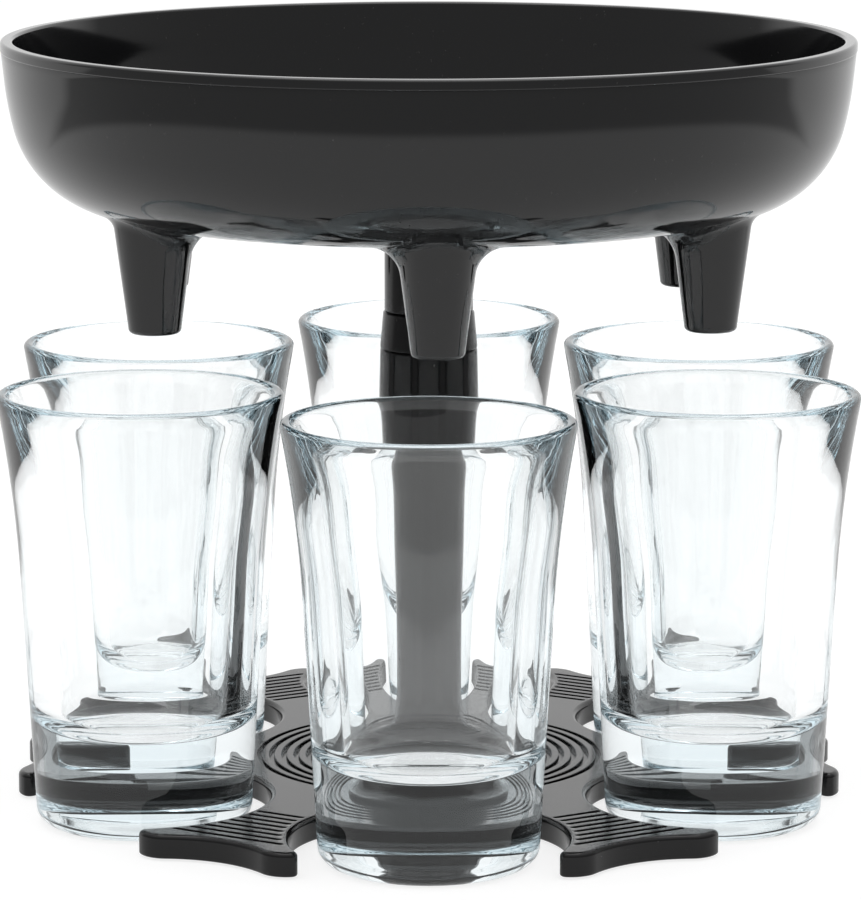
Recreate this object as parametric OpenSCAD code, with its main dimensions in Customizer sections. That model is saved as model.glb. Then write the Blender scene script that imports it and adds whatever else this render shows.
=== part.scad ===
// Drink dispenser that fills six shot glasses at once. A round bowl with six moulded
// spouts turns and lifts off on a centre column. The six glasses stand on the table,
// held in the scalloped sides of a six-armed base plate.
// Millimetres. +Z is up, Z = 0 is the table, and the column stands on the Z axis.

/* [Glasses] */
// Height of a shot glass
glass_h = 73.5; // [60:0.5:90]
// Diameter of a glass at the table
glass_foot_d = 36.3; // [34:0.1:38]
// Draft of the side, in degrees
glass_draft = 3.1; // [2:0.1:4]
// Height of the flared part below the rim
glass_flare_h = 31.5; // [15:0.5:40]
// Radius of the flare's curve in the side view
glass_flare_bend = 230; // [180:5:500]
// Thickness of the side wall at the rim
glass_rim_wall = 2; // [1.5:0.1:2.6]
// Height of the part below the rim where the wall thins fastest
glass_thin_h = 12; // [9:0.5:14]
// Thickness of the side wall at the bottom of that part
glass_upper_wall = 4; // [3:0.1:4.6]
// Thickness of the side wall where the flare starts
glass_mid_wall = 4.9; // [4:0.1:5.2]
// Thickness of the side wall at the solid bottom
glass_low_wall = 5.2; // [4:0.1:6]
// Thickness of the solid bottom
glass_bottom = 16; // [8:0.5:20]
// Rounding of the outer bottom edge
glass_heel_r = 3; // [2:0.1:3.4]
// Rounding inside, where the side meets the bottom
glass_inner_r = 5; // [2:0.5:8]
// Depth of the shallow hollow under the glass
glass_punt = 2; // [0.5:0.1:3]
// Width of the rounded foot round that hollow
glass_stand_w = 3.5; // [3.5:0.1:5]
// Distance from the column axis to each glass axis
glass_ring_r = 55.7; // [54:0.1:58]

/* [Bowl] */
// Height of the bowl, from its flat underside to its rim
bowl_h = 29.1; // [27:0.1:34]
// Diameter of the flat underside
bowl_floor_d = 105.5; // [100:0.5:112]
// Radius of the tight curve at the bottom
bowl_corner_r = 18.8; // [14:0.2:20]
// Angle from the vertical at which the tight curve gives way to the easy one
bowl_blend_angle = 14.2; // [12:0.1:17]
// Radius of the easy curve above it
bowl_side_r = 56.4; // [45:0.2:64]
// Draft of the straight part up to the rim, in degrees
bowl_draft = 5.9; // [4:0.1:8]
// Thickness of the bowl's wall and floor
bowl_wall = 2.2; // [1.6:0.1:3]
// Height of the bead round the rim
rim_h = 1.8; // [1.2:0.1:2.6]
// How far the bead stands out from the wall, on both sides
rim_proud = 0.15; // [0.1:0.05:0.4]
// Rounding of the bead's edges
rim_round = 0.55; // [0.3:0.05:0.6]
// How far the bowl is turned from the glasses, in degrees
bowl_turn = 1.6; // [0:0.1:4]

/* [Spouts] */
// Distance from the column axis to each spout axis
spout_ring_r = 53.6; // [51:0.1:55]
// Length of a spout below the bowl
spout_len = 17.7; // [14:0.1:20]
// Gap between a spout and the rim of the glass under it
spout_gap = 9.9; // [6:0.1:14]
// Outer diameter at the tip
spout_tip_d = 8.64; // [8.2:0.02:10]
// Draft of the outer side, in degrees
spout_draft = 7.5; // [5:0.1:8]
// Radius of the blend into the bowl
spout_blend_r = 6.5; // [4:0.1:8]
// Rounding of the tip's outer edge
spout_tip_round = 0.6; // [0.3:0.05:0.8]
// Diameter of the hole at the tip
spout_bore_d = 6; // [5:0.1:6.4]
// Draft of the hole, in degrees
spout_bore_draft = 4; // [2:0.1:5]

/* [Stem and neck] */
// Diameter of the stem under the bowl
stem_d = 15.3; // [14:0.1:16]
// Length of the stem, down to the neck collar
stem_len = 18.1; // [15:0.1:22]
// Diameter of the spigot that the bowl turns on
spigot_d = 10; // [8:0.1:10.2]
// Length of the spigot
spigot_len = 38; // [25:0.5:45]
// Diameter at the top of the neck collar
neck_top_d = 15.8; // [15.6:0.1:16.4]
// Height of the neck collar
neck_h = 6.5; // [5:0.1:9]
// Outer diameter of the collar's sleeve in the column
sleeve_d = 12.8; // [12.4:0.1:13.4]
// Length of the sleeve
sleeve_len = 10; // [7:0.5:14]

/* [Column] */
// Diameter of the column at its top
column_d = 16.8; // [16.5:0.1:18]
// Draft of the column's side, in degrees
column_draft = 1.3; // [0.5:0.1:1.8]
// Diameter of the flared foot
foot_d = 35; // [30:0.5:38]
// Height of the flare
foot_h = 14; // [10:0.5:20]
// Thickness of the foot at its edge
foot_edge = 0.8; // [0.5:0.1:1.5]

/* [Base plate] */
// Thickness of the plate
plate_t = 4.1; // [4:0.1:6]
// How far a glass clears the side of its bay at the table
bay_clear = 4.85; // [4:0.05:5.5]
// How far the centre of a bay lies outside the glass axis
bay_shift = 1.8; // [1:0.1:2.5]
// Distance from the column axis to the ears of an arm
arm_len = 66; // [64:0.5:68]
// Radius of the ears at the end of an arm
ear_r = 5; // [4:0.1:6]
// Distance of each ear from the middle of the arm
ear_offset = 11.5; // [11:0.1:13]
// How far the middle of the hollow end lies outside the ears' centres
end_dip = 2.2; // [1.5:0.1:3]
// Width of a groove
groove_w = 0.95; // [0.6:0.05:1.2]
// Depth of a groove
groove_depth = 0.8; // [0.3:0.05:1]
// Straight grooves on each arm
groove_count = 8; // [4:1:9]
// Distance between straight grooves
groove_pitch = 2.34; // [2:0.02:2.4]
// Distance of the outermost straight groove inwards of the ears' centres
groove_inset = 0.2; // [0:0.1:2]
// Plain strip between a groove's end and the edge of the arm
groove_margin = 1.2; // [0.8:0.1:2]
// Round grooves about the column
ring_count = 5; // [3:1:5]
// Distance between round grooves
ring_pitch = 2.15; // [1.8:0.05:2.3]
// Radius of the outermost round groove
ring_r = 29.7; // [29:0.1:31]

/* [Foot pads] */
// Diameter of a rubber foot pad
pad_d = 8; // [6:0.5:10]
// Thickness of a pad
pad_t = 1.6; // [1.2:0.1:2]
// How far a pad stands out below the plate
pad_proud = 0.4; // [0.3:0.1:0.8]
// Distance of each pad inwards of the ears' centres
pad_inset = 4; // [3:0.5:8]

/* [Screws and seal] */
// Shank diameter of the three screws up into the column
base_screw_d = 3; // [2.5:0.1:3.5]
// Head diameter
base_head_d = 5.6; // [5:0.1:6]
// Head height
base_head_h = 1.7; // [1.2:0.1:2]
// Length under the head
base_screw_len = 12; // [10:0.5:16]
// Distance from the column axis to each screw
base_screw_ring_r = 5; // [4.5:0.1:5.2]
// Width across flats of the key sockets
key_af = 2.5; // [2:0.1:2.5]
// Depth of the key sockets
key_depth = 1; // [0.8:0.1:1.2]
// Shank diameter of the screw down into the stem
stem_screw_d = 4; // [3:0.1:5]
// Head diameter
stem_head_d = 8; // [7:0.1:9]
// Head height
stem_head_h = 2.6; // [2:0.1:3.5]
// Length under the head
stem_screw_len = 18; // [12:0.5:24]
// Diameter of the sealing washer
washer_d = 11; // [10:0.1:14]
// Thickness of the sealing washer
washer_t = 1; // [0.6:0.1:2]

/* [Centre cap] */
// Diameter of the domed cap over the stem screw
cap_d = 28; // [24:0.5:36]
// Height of the cap
cap_h = 11; // [9:0.5:14]
// Height of the straight edge below the dome
cap_edge = 2; // [1:0.5:3]

/* [Fits] */
// Running clearance on the radius of the spigot and the sleeve
fit = 0.05; // [0.02:0.01:0.08]
// Clearance on the radius of screws, pads and the washer
assembly_gap = 0.1; // [0.05:0.01:0.15]
// Wider clearance on the radius below the sleeve
relief = 0.4; // [0.35:0.05:0.6]
// Room left beyond the end of a blind hole
end_room = 1; // [0.5:0.1:2]

/* [Hidden] */
$fn = 96;
arc_steps = 10;
cut = 1;                  // overrun of a cut beyond the face that it leaves

places = 6;               // glasses, spouts and arms round the column
place_step = 360 / places;
front = -90;              // glass 1 stands at the front
arm_start = front + place_step / 2;

plate_bottom = pad_proud;
plate_top = plate_bottom + plate_t;
spout_tip_z = glass_h + spout_gap;
bowl_bottom = spout_tip_z + spout_len;
bowl_top = bowl_bottom + bowl_h;
bowl_floor_z = bowl_bottom + bowl_wall;
neck_top_z = bowl_bottom - stem_len;
column_top = neck_top_z - neck_h;
spigot_end = neck_top_z - spigot_len;
glass_foot_r = glass_foot_d / 2;

// Points on an arc about (r, z), from one angle to another
function arc(r, z, radius, from, to, n = arc_steps) =
    [for (i = [0:n]) let (a = from + (to - from) * i / n) [r + radius * cos(a), z + radius * sin(a)]];

// Height and radius of a cone's side at a given height above its small end
function cone_r(small_r, h, draft) = small_r + h * tan(draft);

// Outer radius of a glass at height z
function glass_r(z) =
    cone_r(glass_foot_r, z, glass_draft)
    + pow(max(0, z - glass_h + glass_flare_h), 2) / (2 * glass_flare_bend);

// Thickness of a glass's side at height z
function glass_wall(z) =
    lookup(z, [[glass_bottom, glass_low_wall], [glass_h - glass_flare_h, glass_mid_wall],
               [glass_h - glass_thin_h, glass_upper_wall], [glass_h, glass_rim_wall]]);

// Curved side of the bowl, moved inwards by inset
bowl_corner_end = 90 - bowl_blend_angle;
bowl_side_end = 90 - bowl_draft;
bowl_side_c = [bowl_floor_d / 2 - (bowl_side_r - bowl_corner_r) * sin(bowl_corner_end),
               bowl_bottom + bowl_corner_r + (bowl_side_r - bowl_corner_r) * cos(bowl_corner_end)];
function bowl_curve(inset) = concat(
    arc(bowl_floor_d / 2, bowl_bottom + bowl_corner_r, bowl_corner_r - inset, -90, bowl_corner_end - 90),
    arc(bowl_side_c[0], bowl_side_c[1], bowl_side_r - inset, bowl_corner_end - 90, bowl_side_end - 90));

// Radius of the bowl's straight wall at height z, moved inwards by inset
function bowl_wall_r(z, inset) =
    let (end = bowl_curve(inset)[2 * arc_steps + 1]) cone_r(end[0], z - end[1], bowl_draft);

// Radius of a spout's side at height z
function spout_r(z) = cone_r(spout_tip_d / 2, z - spout_tip_z, spout_draft);

// Centre of the blend between a spout and the bowl: distance from the spout axis, and height
blend_c = [spout_r(bowl_bottom - spout_blend_r) + spout_blend_r / cos(spout_draft),
           bowl_bottom - spout_blend_r];
blend_stop = 10;          // the blend ends this many degrees before it lies flat

rim_edge_z = bowl_top - rim_h;
rim_outer = bowl_wall_r(rim_edge_z, 0) + rim_proud;
rim_inner = bowl_wall_r(bowl_top, bowl_wall) - rim_proud;

bay_r = glass_foot_r + bay_clear;
bay_ring_r = glass_ring_r + bay_shift;
end_r = (end_dip * end_dip + ear_offset * ear_offset - ear_r * ear_r) / (2 * (ear_r - end_dip));
end_centre = arm_len + end_dip + end_r;
end_meet = end_r / (end_r + ear_r);       // where the hollow end touches an ear
base_head_z = plate_bottom + base_head_h + assembly_gap;
pad_ring_r = arm_len - pad_inset;

// Half the length of a straight groove, up to the plain strip beside the bay
function groove_half(along) =
    let (bay_x = bay_ring_r * cos(place_step / 2), bay_y = bay_ring_r * sin(place_step / 2))
    bay_y - sqrt(pow(bay_r, 2) - pow(along - bay_x, 2)) - groove_margin;

// Puts children at one of the six places: 0 is the first
module at_place(i, radius, start) {
    rotate([0, 0, start + i * place_step]) translate([radius, 0, 0]) children();
}

// A plain round bar from z0 to z1
module bar(z0, z1, r) {
    translate([0, 0, z0]) cylinder(h = z1 - z0, r = r);
}

// One shot glass: thick bottom, slightly flared side, rounded rim
module shot_glass(i) {
    stand_r = glass_foot_r - glass_stand_w;
    rim_r = glass_rim_wall / 2;
    rim_z = glass_h - rim_r;
    corner_z = glass_bottom + glass_inner_r;
    floor_r = glass_r(corner_z) - glass_wall(corner_z) - glass_inner_r;
    side = [for (k = [1:12]) glass_heel_r + (rim_z - glass_heel_r) * k / 12];
    inside = [for (k = [12:-1:1]) corner_z + (rim_z - corner_z) * k / 12];
    color([0.85, 0.89, 0.9, 0.4]) at_place(i, glass_ring_r, front) rotate_extrude() polygon(concat(
        [[0, glass_punt], [stand_r - glass_punt, glass_punt], [stand_r, 0]],
        arc(glass_r(glass_heel_r) - glass_heel_r, glass_heel_r, glass_heel_r, -90, 0, 6),
        [for (z = side) [glass_r(z), z]],
        arc(glass_r(rim_z) - rim_r, rim_z, rim_r, 20, 160, 6),
        [for (z = inside) [glass_r(z) - glass_wall(z), z]],
        arc(floor_r, corner_z, glass_inner_r, 0, -90, 6),
        [[0, glass_bottom]]));
}

// Side view of the bowl's shell, with the bead round its rim
module bowl_shell() {
    inner = bowl_curve(bowl_wall);
    rotate_extrude() polygon(concat(
        [[0, bowl_bottom]],
        bowl_curve(0),
        [[bowl_wall_r(rim_edge_z, 0), rim_edge_z]],
        arc(rim_outer - rim_round, rim_edge_z + rim_round, rim_round, -90, 0, 4),
        arc(rim_outer - rim_round, bowl_top - rim_round, rim_round, 0, 90, 4),
        arc(rim_inner + rim_round, bowl_top - rim_round, rim_round, 90, 180, 4),
        arc(rim_inner + rim_round, rim_edge_z + rim_round, rim_round, 180, 270, 4),
        [[bowl_wall_r(rim_edge_z, bowl_wall), rim_edge_z]],
        [for (k = [len(inner) - 1:-1:0]) inner[k]],
        [[0, bowl_floor_z]]));
}

// One spout, from its rounded tip up into the bowl's floor, with the blend at its root
module spout() {
    meet_z = bowl_bottom + bowl_wall / 2;
    rotate_extrude() polygon(concat(
        [[0, spout_tip_z]],
        arc(spout_r(spout_tip_z) - spout_tip_round, spout_tip_z + spout_tip_round,
            spout_tip_round, -90, -spout_draft, 4),
        arc(blend_c[0], blend_c[1], spout_blend_r, 180 - spout_draft, 90 + blend_stop, 6),
        [[blend_c[0] - spout_blend_r * sin(blend_stop), meet_z], [0, meet_z]]));
}

// The hole down a spout, wider towards the bowl
module spout_bore() {
    z0 = spout_tip_z - cut;
    z1 = bowl_floor_z + cut * 2;
    translate([0, 0, z0])
        cylinder(h = z1 - z0,
                 r1 = cone_r(spout_bore_d / 2, -cut, spout_bore_draft),
                 r2 = cone_r(spout_bore_d / 2, z1 - spout_tip_z, spout_bore_draft));
}

module bowl() {
    spout_start = front + bowl_turn;
    outer_reach = spout_ring_r + spout_r(bowl_bottom);
    color([0.2, 0.2, 0.21]) difference() {
        union() {
            bowl_shell();
            intersection() {
                for (i = [0:places - 1]) at_place(i, spout_ring_r, spout_start) spout();
                bar(spout_tip_z - cut, bowl_floor_z, outer_reach);
            }
        }
        for (i = [0:places - 1]) at_place(i, spout_ring_r, spout_start) spout_bore();
        bar(bowl_bottom - cut, bowl_floor_z + cut, stem_screw_d / 2 + assembly_gap);
    }
}

// Stem under the bowl, with the long spigot that the bowl turns on
module stem() {
    color([0.13, 0.13, 0.14]) difference() {
        union() {
            bar(neck_top_z, bowl_bottom, stem_d / 2);
            bar(spigot_end, neck_top_z, spigot_d / 2);
        }
        bar(bowl_floor_z + washer_t - stem_screw_len - end_room, bowl_bottom + cut,
            stem_screw_d / 2 + assembly_gap);
    }
}

// Screw down through the bowl's floor into the stem
module stem_screw() {
    seat = bowl_floor_z + washer_t;
    color([0.7, 0.71, 0.72]) difference() {
        union() {
            bar(seat - stem_screw_len, seat, stem_screw_d / 2);
            bar(seat, seat + stem_head_h, stem_head_d / 2);
        }
        key_socket(seat + stem_head_h - key_depth, seat + stem_head_h + cut);
    }
}

// Six-sided key socket from z0 to z1
module key_socket(z0, z1) {
    translate([0, 0, z0]) cylinder(h = z1 - z0, r = key_af / 2 / cos(30), $fn = 6);
}

// Rubber washer that seals the bowl's floor under the screw head
module seal_washer() {
    color([0.08, 0.08, 0.08]) difference() {
        bar(bowl_floor_z, bowl_floor_z + washer_t, washer_d / 2);
        bar(bowl_floor_z - cut, bowl_floor_z + washer_t + cut, stem_screw_d / 2 + assembly_gap);
    }
}

// Domed cap over the screw, pushed over the washer, which sheds the drink outwards
module centre_cap() {
    top = bowl_floor_z + cap_h;
    half = cap_d / 2;
    rise = cap_h - cap_edge;
    dome_r = (half * half + rise * rise) / (2 * rise);
    color([0.2, 0.2, 0.21]) difference() {
        rotate_extrude() polygon(concat(
            [[0, bowl_floor_z], [half, bowl_floor_z]],
            arc(0, top - dome_r, dome_r, asin((dome_r - rise) / dome_r), 90)));
        bar(bowl_floor_z - cut, bowl_floor_z + washer_t + stem_head_h + end_room,
            washer_d / 2 + assembly_gap);
    }
}

// Collar on top of the column: the spigot turns in it, and its sleeve centres it
module neck_collar() {
    color([0.13, 0.13, 0.14]) difference() {
        union() {
            translate([0, 0, column_top])
                cylinder(h = neck_h, d1 = column_d, d2 = neck_top_d);
            bar(column_top - sleeve_len, column_top, sleeve_d / 2);
        }
        bar(column_top - sleeve_len - cut, neck_top_z + cut, spigot_d / 2 + fit);
    }
}

// Column with its flared foot, bored for the sleeve and the spigot
module column() {
    flare_z = foot_h - foot_edge;
    flare_r = foot_d / 2 - cone_r(column_d / 2, column_top - plate_top - foot_h, column_draft);
    color([0.13, 0.13, 0.14]) difference() {
        rotate_extrude() polygon(concat(
            [[0, plate_top], [foot_d / 2, plate_top]],
            [for (k = [0:arc_steps]) let (a = 90 * k / arc_steps)
                [foot_d / 2 - flare_r * sin(a), plate_top + foot_edge + flare_z * (1 - cos(a))]],
            [[column_d / 2, column_top], [0, column_top]]));
        bar(column_top - sleeve_len - end_room, column_top + cut, sleeve_d / 2 + fit);
        bar(spigot_end - end_room, column_top, spigot_d / 2 + relief);
        at_base_screws() bar(plate_top - cut, base_head_z + base_screw_len + end_room,
                             base_screw_d / 2 + assembly_gap);
    }
}

// One arm of the plate, before the bays are cut: two ears with a hollow end between
module arm_outline() {
    meet = [end_centre + (arm_len - end_centre) * end_meet, ear_offset * end_meet];
    difference() {
        union() {
            translate([0, -ear_offset - ear_r]) square([arm_len, 2 * (ear_offset + ear_r)]);
            for (side = [-1, 1]) translate([arm_len, side * ear_offset]) circle(r = ear_r);
            polygon([[arm_len, -ear_offset], [meet[0], -meet[1]],
                     [meet[0], meet[1]], [arm_len, ear_offset]]);
        }
        translate([end_centre, 0]) circle(r = end_r);
    }
}

module plate_outline() {
    difference() {
        union() {
            circle(r = bay_ring_r);
            for (i = [0:places - 1]) rotate(arm_start + i * place_step) arm_outline();
        }
        for (i = [0:places - 1]) rotate(front + i * place_step)
            translate([bay_ring_r, 0]) circle(r = bay_r);
    }
}

// Straight grooves across one arm
module arm_grooves() {
    for (k = [0:groove_count - 1]) {
        along = arm_len - groove_inset - k * groove_pitch;
        half = groove_half(along);
        translate([along - groove_w / 2, -half, plate_top - groove_depth])
            cube([groove_w, 2 * half, groove_depth + cut]);
    }
}

// Round grooves about the column
module ring_grooves() {
    for (k = [0:ring_count - 1]) {
        mid = ring_r - k * ring_pitch;
        difference() {
            bar(plate_top - groove_depth, plate_top + cut, mid + groove_w / 2);
            bar(plate_top - groove_depth - cut, plate_top + 2 * cut, mid - groove_w / 2);
        }
    }
}

module at_base_screws() {
    for (i = [0:2]) rotate([0, 0, arm_start + i * 120]) translate([base_screw_ring_r, 0, 0]) children();
}

// Six-armed plate with a bay for each glass
module base_plate() {
    color([0.16, 0.16, 0.17]) difference() {
        translate([0, 0, plate_bottom]) linear_extrude(height = plate_t) plate_outline();
        for (i = [0:places - 1]) rotate([0, 0, arm_start + i * place_step]) arm_grooves();
        ring_grooves();
        for (i = [0:places - 1]) at_place(i, pad_ring_r, arm_start)
            bar(plate_bottom - cut, pad_t, pad_d / 2 + assembly_gap);
        at_base_screws() {
            bar(plate_bottom - cut, base_head_z, base_head_d / 2 + assembly_gap);
            bar(plate_bottom, plate_top + cut, base_screw_d / 2 + assembly_gap);
        }
    }
}

// Three screws up through the plate into the column's foot
module base_screws() {
    color([0.7, 0.71, 0.72]) at_base_screws() difference() {
        union() {
            bar(base_head_z - base_head_h, base_head_z, base_head_d / 2);
            bar(base_head_z, base_head_z + base_screw_len, base_screw_d / 2);
        }
        key_socket(base_head_z - base_head_h - cut, base_head_z - base_head_h + key_depth);
    }
}

// Rubber pad let into the underside of an arm
module foot_pad(i) {
    color([0.08, 0.08, 0.08]) at_place(i, pad_ring_r, arm_start) bar(0, pad_t, pad_d / 2);
}

bowl();
centre_cap();
stem();
stem_screw();
seal_washer();
neck_collar();
column();
base_plate();
base_screws();
foot_pad(0);  // foot_pad_1
foot_pad(1);  // foot_pad_2
foot_pad(2);  // foot_pad_3
foot_pad(3);  // foot_pad_4
foot_pad(4);  // foot_pad_5
foot_pad(5);  // foot_pad_6
shot_glass(0);  // glass_1
shot_glass(1);  // glass_2
shot_glass(2);  // glass_3
shot_glass(3);  // glass_4
shot_glass(4);  // glass_5
shot_glass(5);  // glass_6
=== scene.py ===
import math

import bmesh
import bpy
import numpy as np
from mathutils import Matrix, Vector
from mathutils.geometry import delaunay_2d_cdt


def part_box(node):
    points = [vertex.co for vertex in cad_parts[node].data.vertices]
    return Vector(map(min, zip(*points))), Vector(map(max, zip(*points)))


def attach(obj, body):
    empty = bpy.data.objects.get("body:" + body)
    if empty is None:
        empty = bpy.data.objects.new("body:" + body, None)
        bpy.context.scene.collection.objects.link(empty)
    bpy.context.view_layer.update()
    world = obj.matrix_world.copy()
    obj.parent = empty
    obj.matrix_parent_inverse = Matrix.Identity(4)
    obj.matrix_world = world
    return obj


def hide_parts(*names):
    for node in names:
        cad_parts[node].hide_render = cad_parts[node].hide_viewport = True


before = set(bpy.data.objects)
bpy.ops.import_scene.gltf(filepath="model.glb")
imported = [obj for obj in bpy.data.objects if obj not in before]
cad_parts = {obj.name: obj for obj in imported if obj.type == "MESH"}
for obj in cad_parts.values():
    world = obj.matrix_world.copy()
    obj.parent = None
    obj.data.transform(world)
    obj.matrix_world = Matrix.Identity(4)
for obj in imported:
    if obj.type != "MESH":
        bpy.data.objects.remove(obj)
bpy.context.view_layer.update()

# %% [markdown]
# # A dispenser that fills six shot glasses at once
#
# The real object is a wide bowl of glossy charcoal plastic on a column, with six spouts
# moulded into its underside. Six pressed shot glasses stand round the column, each in a
# bay of a star-shaped base plate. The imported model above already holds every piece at
# its real size. This script gives the pieces the smooth skins, rounded edges and
# finishes that show in a close view.

MM = 0.001
PLACES = 6
PLACE_STEP = 360 / PLACES


def box_mm(node):
    """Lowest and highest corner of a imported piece, in millimetres."""
    low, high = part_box(node)
    return np.array(low) / MM, np.array(high) / MM


# %% [markdown]
# ## The camera
#
# The camera comes first, because everything after it is judged through it. The picture
# was taken with a long lens from a little above the rims of the glasses, so ellipses are
# flat and the bowl's inside shows only as a sliver. The lens is set from the distance
# between the picture's edges and not by eye: the focal length in picture heights times
# the sensor's height.

# %% Camera
PICTURE_HIGH = 900
FOCAL_PIXELS = 4780.5
SENSOR_MM = 36
CAMERA_MM = (0.3, -816.4, 205.1)
CAMERA_DOWN = 10.18


def make_camera():
    """Long lens aimed down by CAMERA_DOWN degrees along +Y."""
    camera = bpy.data.objects.new("camera", bpy.data.cameras.new("camera"))
    camera.location = [v * MM for v in CAMERA_MM]
    camera.rotation_euler = (math.radians(90 - CAMERA_DOWN), 0, 0)
    camera.data.sensor_width = SENSOR_MM
    camera.data.lens = FOCAL_PIXELS / PICTURE_HIGH * SENSOR_MM
    camera.data.clip_start = 0.01
    bpy.context.scene.collection.objects.link(camera)
    bpy.context.scene.camera = camera
    bpy.context.scene.view_settings.view_transform = "Standard"
    print("lens in mm", round(camera.data.lens, 1))


make_camera()

# %% [markdown]
# ## Surfaces from profiles
#
# Nearly every piece here is turned: a side view carried round an axis. One helper draws
# arcs, one carries a profile round, and one numbers the faces between neighbouring
# points of a grid. The arrays are worked out whole, so a fine surface costs no more code
# than a coarse one.

# %% Arcs, grids and turning


def arc(centre, radius, start, end, steps):
    """Points on an arc in a side view. Angles in degrees: 0 is outwards and 90 is up."""
    angle = np.radians(np.linspace(start, end, steps + 1))
    return np.stack([centre[0] + radius * np.cos(angle), centre[1] + radius * np.sin(angle)], 1)


def grid_faces(rows, columns, first=0):
    """Four-sided faces of a grid whose last column joins its first."""
    row = np.arange(rows - 1)[:, None]
    column = np.arange(columns)[None, :]
    here = row * columns + column
    beside = row * columns + (column + 1) % columns
    return first + np.stack([here, beside, beside + columns, here + columns], -1).reshape(-1, 4)


def turned(profile, angles, centre=(0, 0)):
    """Carries a profile of (radius, height) points round an upright axis.

    The point (r, z) at the angle a comes to (r cos a, r sin a, z), counted from the centre.
    """
    profile = np.asarray(profile, float)
    radius, height = profile[:, :1], profile[:, 1:]
    return np.stack([centre[0] + radius * np.cos(angles),
                     centre[1] + radius * np.sin(angles),
                     height + 0 * angles], -1)


def circle_angles(columns, start=0.0):
    """Evenly spaced angles round a full turn, in radians."""
    return math.radians(start) + np.arange(columns) * math.tau / columns


# %% [markdown]
# ## From arrays to a piece
#
# A piece may be made of several grids that share an edge. They go into one mesh and the
# points that fall on each other are welded, which also closes the poles. Normals are
# then turned outwards. Weighted normals let the large flat faces stay flat next to the
# narrow roundings, which a plain average of normals would smear.

# %% Making a piece
WELD = 2e-6


def make_piece(name, grids, material, body, nodes, weighted=True, fill=((), ())):
    """One welded mesh from grids of points in mm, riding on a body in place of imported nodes.

    fill holds more points and the faces between them, for a skin that is no grid.
    """
    points, quads, count = [], [], 0
    for grid in grids:
        rows, columns = grid.shape[:2]
        points.append(grid.reshape(-1, 3))
        quads.append(grid_faces(rows, columns, count))
        count += rows * columns
    points.append(np.asarray(fill[0], float).reshape(-1, 3))
    all_faces = np.concatenate(quads).tolist()
    all_faces += [[count + corner for corner in face] for face in fill[1]]
    mesh = bpy.data.meshes.new(name)
    mesh.from_pydata((np.concatenate(points) * MM).tolist(), [], all_faces)
    shape = bmesh.new()
    shape.from_mesh(mesh)
    bmesh.ops.remove_doubles(shape, verts=shape.verts, dist=WELD)
    bmesh.ops.dissolve_degenerate(shape, edges=shape.edges, dist=WELD)
    bmesh.ops.recalc_face_normals(shape, faces=shape.faces)
    open_edges = sum(1 for edge in shape.edges if len(edge.link_faces) != 2)
    shape.to_mesh(mesh)
    shape.free()
    mesh.shade_smooth()
    mesh.materials.append(material)
    piece = bpy.data.objects.new(name, mesh)
    bpy.context.scene.collection.objects.link(piece)
    if weighted:
        flat = piece.modifiers.new("flat faces lead", "WEIGHTED_NORMAL")
        flat.keep_sharp = True
    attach(piece, body)
    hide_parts(*nodes)
    print(name, len(mesh.polygons), "faces,", open_edges, "open edges")
    return piece


# %% [markdown]
# ## Finishes
#
# Moulded plastic is never perfectly even: the gloss wanders a little, the skin is very
# slightly wavy, and a few specks of dust sit on it. The three effects are one node
# group, so that each plastic part can have its own amount of each.

# %% Node helpers


def add_node(tree, kind, **values):
    """A node with its unlinked inputs set by name."""
    node = tree.nodes.new(kind)
    for key, value in values.items():
        node.inputs[key.replace("_", " ")].default_value = value
    return node


def ramp_node(tree, low, high, low_value=0.0, high_value=1.0):
    """A Map Range that turns the band low to high into low_value to high_value."""
    node = add_node(tree, "ShaderNodeMapRange")
    for place, value in enumerate((low, high, low_value, high_value), 1):
        node.inputs[place].default_value = value
    return node


# %% The shared skin of moulded plastic


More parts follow.
